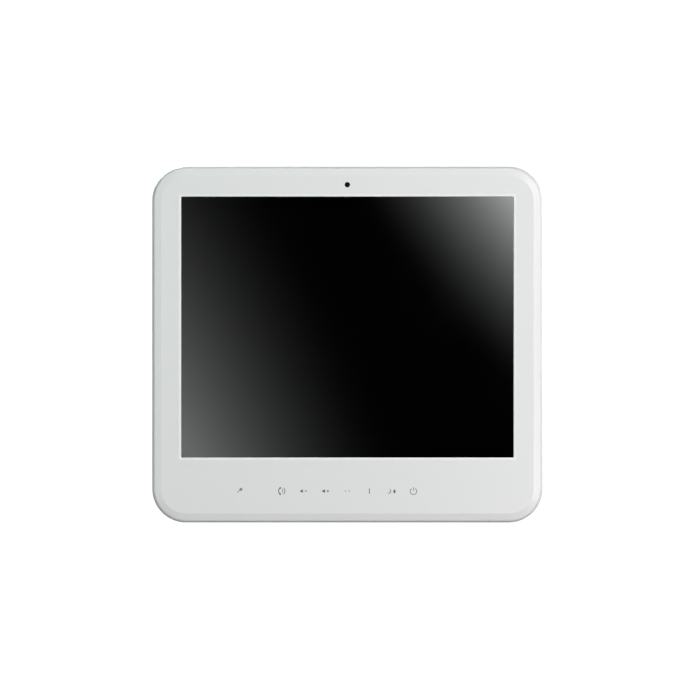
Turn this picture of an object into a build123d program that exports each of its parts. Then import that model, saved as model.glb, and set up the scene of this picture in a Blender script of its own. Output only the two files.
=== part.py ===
from build123d import *
import math
import os

# A wall-hung video intercom monitor, in millimetres, built from separate pieces as it comes apart
# on a bench: a white front bezel and rear cover, a black cover glass over a flat panel display, a
# row of touch keys under it, a camera above it, the electronics behind it and a steel wall bracket.
#
# +Z is up, +X is to the user's right, the wall is the plane Y = 0 and the user stands at -Y.
# "Depth" always means distance from the wall, so a bigger depth is nearer to the user, and "place"
# is an (x, z) position. The origin is the centre of the wall bracket, on the wall.

# ---------------------------------------------------------------- driving sizes
# Casing
body_width = 266.0
body_height = 242.5
body_depth = 38.0            # wall to front face
corner_radius = 23.0
bevel_width = 6.2            # sloping rim round the front face
bevel_drop = 1.5
front_edge_radius = 2.6
inner_edge_radius = 3.0
wall = 2.5                   # side and rear walls
face_thickness = 2.8         # bezel's front wall
bezel_depth = 16.0           # front face to parting line
wall_gap = 2.0               # rear face to wall, taken up by the rubber pads
rear_step = 1.2              # rear cover's outline inside the bezel's at the parting line
rear_inset = 6.0             # rear cover's outline inside the bezel's at the rear face
rear_edge_radius = 3.0
tongue_thickness = 1.3
tongue_height = 2.0
seam_gap = 0.15              # tongue to bezel wall

# Display window and cover glass
side_margin = 19.8
top_margin = 20.5
chin_height = 44.3
window_corner_radius = 0.6
window_bevel = 0.5
window_lip = 0.9             # bezel thickness left in front of the glass
glass_overlap = 2.8          # glass hidden behind the lip, each side
glass_gap = 0.3
glass_corner_radius = 1.0
glass_bevel = 0.2
glass_thickness = 1.8
tape_thickness = 0.2
tape_width = 2.4
tape_inset = 0.2             # tape from the glass's edge

# Display module
gasket_thickness = 0.6
gasket_width = 6.0
lcd_overhang = 1.0           # module wider than the window, and lower, each side
lcd_thickness = 5.9
mask_border = 7.4            # black print between the window's edge and the picture
lcd_sheet = 0.4
frame_margin = 1.0           # frame's opening outside the picture
frame_skirt = 1.0            # bare stretch of the module's side behind the frame
cell_thickness = 1.4
cell_margin = 1.0            # glass cell past the films
film_thickness = 0.6
film_margin = 4.0            # films from the module's edge
film_gap = 0.3
light_guide_thickness = 2.0
light_bar_height = 0.8
led_size = (3.5, 0.8)
led_pitch = 9.0
tray_gap = 0.1
tray_step = 0.2              # tray's rim behind the glass cell
tray_ledge = 3.0             # tray's floor under the light guide
driver_board_size = (120.0, 14.0)
driver_board_thickness = 1.0
driver_board_rise = 1.0      # driver board above the module's lower edge
driver_chip_size = (9.0, 6.0)
driver_chip_thickness = 0.9
driver_chip_pitch = 32.0
driver_chips = 3

# Chassis plate
chassis_thickness = 1.0
chassis_corner_radius = 2.0
chassis_top_margin = 8.0
chassis_bottom_gap = 2.0     # plate to driver board
chassis_fit = 0.2            # flange to display module
flange_depth = 5.0
flange_gap = 3.0             # flange to ear
ear_end_inset = 25.0         # ears from the module's top and bottom edges
ear_margin = 1.0             # ear past its boss
ear_overlap = 2.0            # ear into the plate
cooling_slot_size = (8.0, 4.0)
cooling_slot_pitch = 16.0
cooling_slots = 9
cooling_slot_rise = 12.0     # above the main board

# Main board
board_width = 150.0
board_height = 80.0
board_thickness = 1.6
board_corner_radius = 2.0
board_back = 19.4            # depth of the main board's component side
standoff_flats = 5.5
standoff_inset = 5.0         # standoff axis from the board's edges
part_row_drop = 13.0         # processor and memory below the board's top edge
low_row_rise = 10.0          # capacitors above the board's bottom edge
processor_size = (19.0, 19.0)
processor_thickness = 1.4
processor_x = -20.0
sink_size = (26.0, 19.0)
sink_depth = 6.0
sink_base = 1.6
fin_count = 7
fin_pitch = 4.0
fin_thickness = 1.2
memory_size = (9.0, 13.0)
memory_thickness = 1.1
memory_x = (4.0, 18.0)
chip_size = (12.0, 12.0)
chip_thickness = 1.2
chip_places = [(47.0, -2.0), (44.0, 24.0), (60.0, -20.0)]
coil_size = 7.0
coil_depth = 3.4
coil_rounding = 1.5
coil_dish_radius = 2.6
coil_dish_depth = 0.4
coil_x = -49.0
coil_pitch = 10.0
coil_count = 3
can_radius = 3.15
can_depth = 5.8
can_base = 6.6
can_base_thickness = 0.8
can_rounding = 0.4
can_x = -52.0
can_pitch = 9.0
can_count = 4
coin_radius = 10.0
coin_thickness = 3.2
coin_x = 25.0
coin_rise = 13.0             # coin cell above the board's bottom edge
coin_gap = 0.2
holder_wall = 1.0
holder_side = 2.0
holder_floor = 0.8

# Screws: cover, chassis and board screws share one thread, the small ones another
screw_radius = 1.5
screw_head_radius = 2.8
screw_head_height = 2.0
small_screw_radius = 0.9
small_head_radius = 1.7
small_head_height = 1.2
head_rounding = 0.45         # share of a head's height
recess_width = 0.7           # cross recess
recess_span = 1.1            # share of a head's radius
recess_depth = 0.7           # share of a head's height
thread_gap = 0.05            # screw to its boss, on radius
hole_gap = 0.15              # screw to a hole that it passes through, on radius
head_gap = 0.3               # head to its well, on radius
tip_gap = 0.6                # screw's tip to the end of its bore
boss_radius = 3.5
boss_bore_depth = 9.0
boss_edge_inset = 13.0       # cover bosses from the body's side edges
boss_end_inset = 18.0        # cover bosses from the body's top and bottom edges
post_radius = 4.2
post_seat = 3.0              # plastic under a cover screw's head
ear_bore_depth = 6.6
small_boss_radius = 2.3
small_bore_depth = 5.3
key_bore_depth = 3.5

# Wall bracket
bracket_width = 150.0
bracket_height = 100.0
bracket_thickness = 1.2
bracket_corner_radius = 6.0
bracket_flange_depth = 4.0
bracket_flange_inset = 12.0  # flange's ends from the plate's top and bottom edges
cable_window_size = (84.0, 52.0)
fixing_hole_radius = 2.25
box_screw_spacing = 83.5     # screws of a single wall box, one above the other
corner_screw_inset = (9.0, 6.0)
hook_width = 12.0
hook_rise = 7.0              # part of a hook that stands behind the cover's wall
hook_inset = 15.0            # hook's centre from the bracket's side edges
hook_upper_z = 20.0
hook_lower_z = -34.0
hook_slack = 1.0             # hook to the inside of the cover's wall
hook_rounding = 1.5
lance_gap = 0.5
lift = 9.0                   # how far the monitor rises to clear the hooks

# Recess and connector bay in the rear cover
recess_floor = 7.5           # depth of the recess's floor
recess_clearance = 1.5
recess_corner_radius = 3.0
slot_clearance = 1.0
bay_size = (68.0, 28.0)
bay_corner_radius = 3.0
collar_thickness = 1.5
collar_gap = 1.0             # collar to main board

# Terminal block
ways = 6
way_pitch = 3.81
terminal_x = -16.0
header_end_wall = 2.6
header_height = 7.25
header_depth = 9.2
header_wall = 0.9
header_floor = 2.0
pin_width = 0.8
pin_length = 5.2
plug_gap = 0.15
plug_height = 11.0
plug_depth = 6.2
plug_end_wall = 1.0
plug_channel = 1.3
wire_entry_size = (2.4, 2.6)
wire_entry_depth = 4.2
clamp_screw_radius = 1.4
clamp_screw_length = 2.4
clamp_screw_sunk = 0.4
clamp_screw_gap = 0.1
clamp_slot_width = 0.5
clamp_slot_depth = 0.7

# Address switch
dip_ways = 4
dip_pitch = 2.54
dip_x = 12.0
dip_height = 9.9
dip_depth = 4.0
dip_end_wall = 0.8
dip_travel = 1.6
dip_slider_size = (1.2, 1.6)
dip_slider_proud = 0.8
dip_pocket_depth = 1.5
dip_gap = 0.1

# Reset switch
reset_x = 27.0
reset_size = 6.0
reset_depth = 3.5
reset_corner_radius = 0.4
reset_button_radius = 1.7
reset_button_proud = 3.5
reset_button_sunk = 0.6
reset_button_rounding = 0.3
reset_travel = 0.25
reset_gap = 0.1

# Touch keys and microphone
key_count = 7
key_pitch = 15.0
key_row_rise = 21.5          # key row above the body's bottom edge
key_pad_radius = 4.0
key_pad_height = 2.5
key_board_height = 16.0
key_board_thickness = 1.2
key_board_corner_radius = 1.5
key_board_right_margin = 13.0    # board past the last key
key_board_left_margin = 9.0      # board past the microphone
key_screw_offset = 5.0           # screws above and below the key row
key_screw_inset = 4.0            # screws from the board's right edge
microphone_x = -72.5
microphone_rise = 1.2            # microphone above the key row
microphone_radius = 3.0
microphone_height = 2.2
microphone_hole_radius = 0.6
boot_radius = 4.5
boot_mouth_radius = 1.2

# Camera
camera_drop = 12.4           # camera axis below the body's top edge
camera_hole_radius = 1.85
camera_window_radius = 3.0
camera_window_thickness = 1.2
camera_window_gap = 0.1
camera_lip = 1.1             # bezel thickness left in front of the camera's window
camera_gap = 0.7             # window to lens barrel
barrel_radius = 2.8
barrel_length = 1.9
lens_radius = 1.6
lens_thickness = 0.8
lens_edge = 0.4
sensor_size = 8.0
sensor_height = 3.2
sensor_corner_radius = 0.5
camera_board_size = (28.0, 8.5)
camera_board_thickness = 0.8
camera_board_corner_radius = 1.0
camera_screw_offset = 11.0

# Speaker
speaker_size = 35.0
speaker_corner_radius = 3.0
speaker_edge_inset = 35.0
speaker_bottom_inset = 35.0
speaker_gasket_thickness = 1.0
speaker_flange = 1.2
speaker_hole_inset = 3.5
cup_radius = 15.5
throat_radius = 11.0
cup_depth = 7.0
cup_sheet = 0.8
cone_sheet = 0.4
cone_rim = 2.5
cone_neck_radius = 4.0
cone_recess = 0.3            # cone's rim into the cup
dome_height = 1.6
magnet_radius = 10.0
magnet_thickness = 5.0
magnet_cap_radius = 9.0
magnet_cap_thickness = 1.0
terminal_strip_size = (8.0, 3.0)
terminal_strip_depth = 2.6
terminal_strip_x = -7.0      # from the speaker's axis
grille_slot_width = 2.2
grille_pitch = 4.2
grille_radius = 13.5

# Rear cover's vents, pads and blank label
vent_slot_size = (2.4, 20.0)
vent_pitch = 6.0
vents_per_group = 9
vent_group_x = 62.0
vent_top_inset = 34.0
top_vent_size = (2.4, 9.0)
top_vent_pitch = 7.4
top_vents = 15
pad_radius = 5.0
pad_sunk = 0.5
pad_gap = 0.1
pad_rounding = 0.6
pad_side_inset = 38.0
pad_end_inset = 15.0
label_size = (60.0, 26.0)
label_thickness = 0.15
label_corner_radius = 2.0
label_x = -56.0
label_rise = 27.0            # label's centre above the body's bottom edge

# Internal cables
ribbon_thickness = 0.3
ribbon_width = 8.0
socket_height = 2.2
socket_length = 5.0
socket_margin = 1.5          # socket wider than its ribbon
socket_inset = 1.0           # socket from its board's edge
camera_cable_x = 2.0
lcd_cable_x = -20.0
key_cable_x = 43.5
lane_gap = 3.5               # flat cables behind the chassis plate
wire_radius = 0.7
wire_spacing = 2.0
wire_socket_size = (6.0, 5.0)
wire_socket_z = -21.0

# ---------------------------------------------------------------- derived places
half_width, half_height = body_width / 2, body_height / 2
window_size = (body_width - 2 * side_margin, body_height - top_margin - chin_height)
window_z = (chin_height - top_margin) / 2
window_place = [(0, window_z)]

bevel_start = body_depth - bevel_drop
face_back = body_depth - face_thickness
parting = body_depth - bezel_depth
rear_face = wall_gap
rear_inner = rear_face + wall
post_end = parting + tongue_height

tape_front = body_depth - window_lip
glass_front = tape_front - tape_thickness
glass_back = glass_front - glass_thickness
glass_size = (window_size[0] + 2 * glass_overlap, window_size[1] + 2 * glass_overlap)
view_size = (window_size[0] - 2 * mask_border, window_size[1] - 2 * mask_border)

lcd_front = glass_back - gasket_thickness
lcd_back = lcd_front - lcd_thickness
lcd_size = (window_size[0] + 2 * lcd_overhang, window_size[1] - 2 * lcd_overhang)
lcd_top = window_z + lcd_size[1] / 2
cell_front = lcd_front - lcd_sheet
cell_back = cell_front - cell_thickness
film_back = cell_back - film_thickness
guide_back = film_back - light_guide_thickness
driver_back = lcd_back - driver_board_thickness
driver_z = window_z - lcd_size[1] / 2 + driver_board_rise + driver_board_size[1] / 2

chassis_back = lcd_back - chassis_thickness
chassis_top = lcd_top - chassis_top_margin
chassis_bottom = driver_z + driver_board_size[1] / 2 + chassis_bottom_gap
flange_inner = lcd_size[0] / 2 + chassis_fit

board_front = board_back + board_thickness
part_row_z = board_height / 2 - part_row_drop
low_row_z = low_row_rise - board_height / 2
bay_inner = recess_floor + wall
recess_half_width = bracket_width / 2 + recess_clearance
recess_top = bracket_height / 2 + recess_clearance
recess_bottom = -bracket_height / 2 - lift - recess_clearance
hook_reach = bay_inner + hook_slack          # depth where a hook's upright begins
hook_front = hook_reach + bracket_thickness

key_z = key_row_rise - half_height
key_board_front = face_back - key_pad_height
key_board_back = key_board_front - key_board_thickness
key_places = [((n - (key_count - 1) / 2) * key_pitch, key_z) for n in range(key_count)]
key_board_right = key_places[-1][0] + key_board_right_margin
key_board_left = microphone_x - key_board_left_margin
microphone_place = [(microphone_x, key_z + microphone_rise)]
microphone_front = key_board_front + microphone_height

camera_place = [(0, half_height - camera_drop)]
camera_window_front = body_depth - camera_lip
camera_window_back = camera_window_front - camera_window_thickness
barrel_front = camera_window_back - camera_gap
sensor_front = barrel_front - barrel_length
camera_board_front = sensor_front - sensor_height
camera_board_back = camera_board_front - camera_board_thickness

speaker_x = half_width - speaker_edge_inset
speaker_z = speaker_bottom_inset - half_height
speaker_place = [(speaker_x, speaker_z)]
speaker_flange_back = rear_inner + speaker_gasket_thickness
speaker_flange_front = speaker_flange_back + speaker_flange
cup_front = speaker_flange_front + cup_depth
magnet_front = cup_front + magnet_thickness


# ---------------------------------------------------------------- helpers
def four_places(x, z, centre=(0, 0)):
    """The four places at a distance x and z either side of a centre."""
    return [(centre[0] + i * x, centre[1] + j * z) for i in (-1, 1) for j in (-1, 1)]


def row_places(count, pitch, x, z):
    """A level row of evenly spaced places about its middle."""
    return [(x + (n - (count - 1) / 2) * pitch, z) for n in range(count)]


def grown(size, margin):
    """A width and height with a margin added on every side."""
    return (size[0] + 2 * margin, size[1] + 2 * margin)


def at_depth(depth):
    """A sketch plane parallel to the wall that faces the user: its x is +X and its y is +Z."""
    return Plane.XZ.offset(depth)


def slab(size, back, front, places=((0, 0),), corner=0.0, mode=Mode.ADD):
    """Adds plates parallel to the wall to the part being built, or cuts them out of it."""
    with BuildSketch(at_depth(back)) as outline:
        with Locations(*places):
            if corner:
                RectangleRounded(*size, corner)
            else:
                Rectangle(*size)
    extrude(outline.sketch, amount=front - back, mode=mode)


def tapered_body(*sections):
    """Adds a block with the body's rounded outline, given as the depth and inset of its two ends."""
    outlines = []
    for depth, inset in sections:
        with BuildSketch(at_depth(depth)) as outline:
            RectangleRounded(*grown((body_width, body_height), -inset), corner_radius - inset)
        outlines.append(outline.sketch)
    loft(outlines, ruled=True)


def rod(radius, back, front, places, mode=Mode.ADD):
    """Adds round bars that stand out from the wall to the part being built, or drills them."""
    with BuildSketch(at_depth(back)) as outline:
        with Locations(*places):
            Circle(radius)
    extrude(outline.sketch, amount=front - back, mode=mode)


def slots(size, back, front, places):
    """Cuts slots with fully round ends through the part being built."""
    slab(size, back, front, places, min(size) / 2 - 0.01, Mode.SUBTRACT)


def round_back_rims(part, radius):
    """Rounds the circular edges that are nearest to the wall."""
    fillet(part.edges().filter_by(GeomType.CIRCLE).group_by(Axis.Y)[-1], radius)


def screws(places, seat, length, radius, head_radius, head_height, forward=1):
    """Adds pan-head screws with a cross recess. They point to the user, or to the wall at -1."""
    head_end = seat - forward * head_height
    rod(radius, *sorted((seat, seat + forward * length)), places)
    rod(head_radius, *sorted((seat, head_end)), places)
    rims = [e for e in edges().filter_by(GeomType.CIRCLE) if abs(e.center().Y + head_end) < 1e-6]
    fillet(rims, head_height * head_rounding)
    recess_end = head_end + forward * head_height * recess_depth
    span = head_radius * recess_span
    for size in ((span, recess_width), (recess_width, span)):
        slab(size, *sorted((head_end, recess_end)), places, mode=Mode.SUBTRACT)


def turned(place, profile, mode=Mode.ADD):
    """Revolves a closed (radius, depth) outline about an axis that stands out from the wall."""
    x, z = place
    axial = Plane(origin=(x, 0, z), x_dir=(1, 0, 0), z_dir=(0, 0, -1))
    with BuildSketch(axial) as half:
        with BuildLine():
            Polyline(*profile, close=True)
        make_face()
    revolve(half.sketch, axis=Axis((x, 0, z), (0, -1, 0)), mode=mode)


def arc_radii(points):
    """For each inner point of a route: 0.45 of the shorter run over the tangent of half the turn."""
    route = [Vector(*p) for p in points]
    radii = []
    for before, here, after in zip(route, route[1:], route[2:]):
        turn = (here - before).get_angle(after - here)
        shorter = min((here - before).length, (after - here).length)
        radii.append(0.45 * shorter / math.tan(math.radians(turn) / 2))
    return radii


def ribbon(x, points):
    """Adds a flat cable at x that follows (depth, z) points, with arcs as large as its runs allow."""
    route = [(-depth, z) for depth, z in points]
    with BuildSketch(Plane.YZ.offset(x)) as section:
        with BuildLine():
            FilletPolyline(*route, radius=arc_radii(route))
        trace(line_width=ribbon_thickness)
    extrude(section.sketch, amount=ribbon_width / 2, both=True)


def wire(points):
    """Adds a round wire along (x, y, z) points, with arcs as large as its runs allow."""
    with BuildLine() as route:
        FilletPolyline(*points, radius=arc_radii(points))
    start = Plane(origin=points[0], z_dir=Vector(*points[1]) - Vector(*points[0]))
    with BuildSketch(start) as section:
        Circle(wire_radius)
    sweep(section.sketch, path=route.line)


def save(part, label):
    """Labels a finished piece and writes it as parts/LABEL.step."""
    part.label = label
    export_step(part, f"parts/{label}.step")


os.makedirs("parts", exist_ok=True)

# Fixing places that several pieces share
cover_boss_places = [
    (side * (half_width - boss_edge_inset), z)
    for side in (-1, 1)
    for z in (half_height - boss_end_inset, window_z, boss_end_inset - half_height)
]
ear_places = four_places(
    half_width - boss_edge_inset, lcd_size[1] / 2 - ear_end_inset, window_place[0]
)
standoff_places = four_places(board_width / 2 - standoff_inset, board_height / 2 - standoff_inset)
key_screw_places = [
    (x, key_z + end * key_screw_offset)
    for x in (key_board_right - key_screw_inset, (key_places[0][0] + microphone_x) / 2)
    for end in (-1, 1)
]
camera_screw_places = row_places(2, 2 * camera_screw_offset, *camera_place[0])
speaker_hole_offset = speaker_size / 2 - speaker_hole_inset
speaker_screw_places = four_places(speaker_hole_offset, speaker_hole_offset, speaker_place[0])
hook_x = bracket_width / 2 - hook_inset
hook_places = [(side * hook_x, z) for side in (-1, 1) for z in (hook_upper_z, hook_lower_z)]
way_places = row_places(ways, way_pitch, terminal_x, 0)


# ---------------------------------------------------------------- wall bracket
# A pressed steel plate with a cable window, side flanges and four hooks. Each hook is a tongue
# lanced out of the plate, bent forward and then up, and leaves a hole of its own length above it.
with BuildPart() as wall_bracket:
    slab((bracket_width, bracket_height), 0, bracket_thickness, corner=bracket_corner_radius)
    slab(cable_window_size, 0, bracket_thickness, [(0, 0)], bracket_corner_radius, Mode.SUBTRACT)
    flange_size = (bracket_thickness, bracket_height - 2 * bracket_flange_inset)
    flange_places = row_places(2, bracket_width - bracket_thickness, 0, 0)
    slab(flange_size, 0, bracket_flange_depth, flange_places)
    lanced_size = (hook_width + 2 * lance_gap, hook_front + hook_rise - bracket_thickness)
    lanced_places = [(x, z + lanced_size[1] / 2) for x, z in hook_places]
    slab(lanced_size, 0, bracket_thickness, lanced_places, mode=Mode.SUBTRACT)
    for x, z in hook_places:
        with BuildSketch(Plane.YZ.offset(x)) as hook_side:
            with BuildLine():
                Polyline(
                    (0, z - bracket_thickness),
                    (-hook_front, z - bracket_thickness),
                    (-hook_front, z + hook_rise),
                    (-hook_reach, z + hook_rise),
                    (-hook_reach, z),
                    (0, z),
                    close=True,
                )
            make_face()
        extrude(hook_side.sketch, amount=hook_width / 2, both=True)
    hook_tips = [
        e
        for e in edges().filter_by(Axis.Y)
        if any(abs(e.center().Z - z - hook_rise) < 0.1 for _, z in hook_places)
        and -e.center().Y > hook_reach
    ]
    fillet(hook_tips, hook_rounding)
    corner_x, corner_z = corner_screw_inset
    fixing_places = four_places(bracket_width / 2 - corner_x, bracket_height / 2 - corner_z)
    fixing_places += [(0, -box_screw_spacing / 2), (0, box_screw_spacing / 2)]
    rod(fixing_hole_radius, 0, bracket_thickness, fixing_places, Mode.SUBTRACT)
save(wall_bracket.part, "wall_bracket")

# ---------------------------------------------------------------- front bezel
with BuildPart() as bezel_cavity:
    inner_size = grown((body_width, body_height), -wall)
    slab(inner_size, parting, face_back, corner=corner_radius - wall)
    fillet(bezel_cavity.faces().sort_by(Axis.Y)[0].edges(), inner_edge_radius)

with BuildPart() as front_bezel:
    slab((body_width, body_height), parting, bevel_start, corner=corner_radius)
    tapered_body((bevel_start, 0), (body_depth, bevel_width))
    # From the front: the face's outline, the bevel's short corner edges, then the bevel's foot
    bevel_foot = front_bezel.edges().group_by(Axis.Y)[2]
    fillet(bevel_foot, front_edge_radius)
    add(bezel_cavity.part, mode=Mode.SUBTRACT)
    # Pocket that the cover glass is taped into, then the window through the lip in front of it
    slab(grown(glass_size, glass_gap), face_back, tape_front, window_place, mode=Mode.SUBTRACT)
    slab(window_size, face_back, body_depth, window_place, window_corner_radius, Mode.SUBTRACT)
    window_rim = front_bezel.faces().sort_by(Axis.Y)[0].inner_wires()[0]
    chamfer(window_rim.edges(), window_bevel)
    # Camera and microphone openings
    seat_radius = camera_window_radius + camera_window_gap
    rod(seat_radius, face_back, camera_window_front, camera_place, Mode.SUBTRACT)
    rod(camera_hole_radius, camera_window_front, body_depth, camera_place, Mode.SUBTRACT)
    rod(microphone_hole_radius, face_back, body_depth, microphone_place, Mode.SUBTRACT)
    # Bosses for the rear cover, the chassis ears, the key board and the camera board, and their bores
    bore = screw_radius + thread_gap
    small_bore = small_screw_radius + thread_gap
    bosses = [
        (cover_boss_places, post_end, boss_radius, bore, boss_bore_depth),
        (ear_places, lcd_back, boss_radius, bore, ear_bore_depth),
        (key_screw_places, key_board_front, small_boss_radius, small_bore, key_bore_depth),
        (camera_screw_places, camera_board_front, small_boss_radius, small_bore, small_bore_depth),
    ]
    for places, boss_end, outer_radius, bore_radius, bore_depth in bosses:
        rod(outer_radius, boss_end, face_back, places)
        rod(bore_radius, boss_end, boss_end + bore_depth, places, Mode.SUBTRACT)
save(front_bezel.part, "front_bezel")


# ---------------------------------------------------------------- rear cover
def rear_section(depth, extra_inset):
    """The depth and inset of the rear cover's sloping outline, moved inwards by an extra inset."""
    slope = (rear_inset - rear_step) / (parting - rear_face)
    return (depth, rear_step + (parting - depth) * slope + extra_inset)


with BuildPart() as rear_cavity:
    tapered_body(rear_section(rear_inner, wall), rear_section(parting, wall))

with BuildPart() as rear_cover:
    tapered_body(rear_section(rear_face, 0), rear_section(parting, 0))
    fillet(rear_cover.faces().sort_by(Axis.Y)[-1].edges(), rear_edge_radius)
    add(rear_cavity.part, mode=Mode.SUBTRACT)
    # Tongue that registers inside the bezel
    with BuildSketch(at_depth(parting)) as tongue:
        tongue_inset = wall + seam_gap
        for inset, mode in ((tongue_inset, Mode.ADD), (tongue_inset + tongue_thickness, Mode.SUBTRACT)):
            outline_size = grown((body_width, body_height), -inset)
            RectangleRounded(*outline_size, corner_radius - inset, mode=mode)
    extrude(tongue.sketch, amount=tongue_height)
    # Recess for the wall bracket, and the connector bay with its collar
    recess_size = (2 * recess_half_width, recess_top - recess_bottom)
    recess_place = [(0, (recess_top + recess_bottom) / 2)]
    tub_corner = recess_corner_radius + wall
    slab(grown(recess_size, wall), rear_face, bay_inner, recess_place, tub_corner)
    slab(recess_size, rear_face, recess_floor, recess_place, recess_corner_radius, Mode.SUBTRACT)
    collar_end = board_back - collar_gap
    collar_corner = bay_corner_radius + collar_thickness
    slab(grown(bay_size, collar_thickness), bay_inner, collar_end, corner=collar_corner)
    slab(bay_size, recess_floor, collar_end, [(0, 0)], bay_corner_radius, Mode.SUBTRACT)
    # Slots whose top edges hang on the hooks
    slot_size = (hook_width + 2 * slot_clearance, lift + bracket_thickness + slot_clearance)
    slot_places = [(x, z - slot_size[1] / 2) for x, z in hook_places]
    slab(slot_size, recess_floor, bay_inner, slot_places, mode=Mode.SUBTRACT)
    # Screw posts, with a well for each head
    rod(post_radius, rear_inner, post_end, cover_boss_places)
    rod(screw_radius + hole_gap, rear_face, post_end, cover_boss_places, Mode.SUBTRACT)
    well_radius = screw_head_radius + head_gap
    rod(well_radius, rear_face, post_end - post_seat, cover_boss_places, Mode.SUBTRACT)
    # Speaker grille, and posts and blind holes for the speaker's screws
    grille_count = 2 * int(grille_radius / grille_pitch) + 1
    for slot_x, _ in row_places(grille_count, grille_pitch, 0, 0):
        slot_length = 2 * math.sqrt(grille_radius**2 - slot_x**2)
        slot_place = [(speaker_x + slot_x, speaker_z)]
        slots((grille_slot_width, slot_length), rear_face, rear_inner, slot_place)
    rod(small_boss_radius, rear_inner, speaker_flange_back, speaker_screw_places)
    blind_end = rear_face + wall / 2
    rod(small_bore, blind_end, speaker_flange_back, speaker_screw_places, Mode.SUBTRACT)
    # Vents in the rear face and through the top edge
    vent_z = half_height - vent_top_inset
    for group_x in (-vent_group_x, vent_group_x):
        vent_places = row_places(vents_per_group, vent_pitch, group_x, vent_z)
        slots(vent_slot_size, rear_face, rear_inner, vent_places)
    with BuildSketch(Plane.XY.offset(half_height)) as top_slots:
        with Locations(*row_places(top_vents, top_vent_pitch, 0, -(parting + rear_inner) / 2)):
            RectangleRounded(*top_vent_size, top_vent_size[0] / 2 - 0.01)
    extrude(top_slots.sketch, amount=-rear_inset - 2 * wall, mode=Mode.SUBTRACT)
    # Seats for the rubber pads
    pad_places = four_places(half_width - pad_side_inset, half_height - pad_end_inset)
    rod(pad_radius + pad_gap, rear_face, rear_face + pad_sunk, pad_places, Mode.SUBTRACT)
save(rear_cover.part, "rear_cover")

with BuildPart() as cover_screws:
    cover_seat = post_end - post_seat
    cover_screw_length = post_seat + boss_bore_depth - tip_gap
    screws(
        cover_boss_places,
        cover_seat,
        cover_screw_length,
        screw_radius,
        screw_head_radius,
        screw_head_height,
    )
save(cover_screws.part, "cover_screws")

with BuildPart() as rear_pads:
    rod(pad_radius, 0, rear_face + pad_sunk, pad_places)
    round_back_rims(rear_pads, pad_rounding)
save(rear_pads.part, "rear_pads")

with BuildPart() as blank_label:
    label_place = [(label_x, label_rise - half_height)]
    slab(label_size, rear_face - label_thickness, rear_face, label_place, label_corner_radius)
save(blank_label.part, "blank_label")

# ---------------------------------------------------------------- cover glass
with BuildPart() as cover_glass:
    slab(glass_size, glass_back, glass_front, window_place, glass_corner_radius)
    chamfer(cover_glass.faces().sort_by(Axis.Y)[0].edges(), glass_bevel)
save(cover_glass.part, "cover_glass")

with BuildPart() as glass_tape:
    tape_size = grown(glass_size, -tape_inset)
    slab(tape_size, glass_front, tape_front, window_place)
    slab(grown(tape_size, -tape_width), glass_front, tape_front, window_place, mode=Mode.SUBTRACT)
save(glass_tape.part, "glass_tape")

with BuildPart() as display_gasket:
    slab(grown(view_size, gasket_width), lcd_front, glass_back, window_place)
    slab(view_size, lcd_front, glass_back, window_place, mode=Mode.SUBTRACT)
save(display_gasket.part, "display_gasket")

# ---------------------------------------------------------------- display module
# From the front: steel frame, glass cell, optical films, light guide with its light bar along the
# lower edge, and a steel tray that closes the back. The driver board hangs behind the lower edge.
film_size = grown(lcd_size, -film_margin)

with BuildPart() as lcd_front_frame:
    skirt_back = lcd_back + frame_skirt
    slab(lcd_size, skirt_back, lcd_front, window_place)
    slab(grown(lcd_size, -lcd_sheet), skirt_back, cell_front, window_place, mode=Mode.SUBTRACT)
    slab(grown(view_size, frame_margin), cell_front, lcd_front, window_place, mode=Mode.SUBTRACT)
save(lcd_front_frame.part, "lcd_front_frame")

with BuildPart() as lcd_cell:
    slab(grown(film_size, cell_margin), cell_back, cell_front, window_place)
save(lcd_cell.part, "lcd_cell")

with BuildPart() as lcd_films:
    slab(film_size, film_back, cell_back, window_place)
save(lcd_films.part, "lcd_films")

led_row_height = light_bar_height + led_size[1]
film_bottom = window_z - film_size[1] / 2

with BuildPart() as lcd_light_guide:
    guide_size = (film_size[0], film_size[1] - led_row_height)
    slab(guide_size, guide_back, film_back, [(0, window_z + led_row_height / 2)])
save(lcd_light_guide.part, "lcd_light_guide")

with BuildPart() as lcd_light_bar:
    strip_size = (film_size[0], light_bar_height)
    slab(strip_size, guide_back, film_back, [(0, film_bottom + light_bar_height / 2)])
    led_z = film_bottom + light_bar_height + led_size[1] / 2
    led_places = row_places(int(film_size[0] // led_pitch), led_pitch, 0, led_z)
    slab(led_size, guide_back + film_gap, film_back - film_gap, led_places)
save(lcd_light_bar.part, "lcd_light_bar")

with BuildPart() as lcd_rear_tray:
    rim_front = cell_back - tray_step
    slab(grown(lcd_size, -lcd_sheet - tray_gap), lcd_back, rim_front, window_place)
    slab(grown(film_size, film_gap), guide_back, rim_front, window_place, mode=Mode.SUBTRACT)
    floor_cut = grown(film_size, -tray_ledge)
    slab(floor_cut, lcd_back + lcd_sheet, guide_back, window_place, mode=Mode.SUBTRACT)
save(lcd_rear_tray.part, "lcd_rear_tray")

with BuildPart() as lcd_driver_board:
    slab(driver_board_size, driver_back, lcd_back, [(0, driver_z)])
    driver_chip_places = row_places(driver_chips, driver_chip_pitch, 0, driver_z)
    slab(driver_chip_size, driver_back - driver_chip_thickness, driver_back, driver_chip_places)
save(lcd_driver_board.part, "lcd_driver_board")

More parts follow.
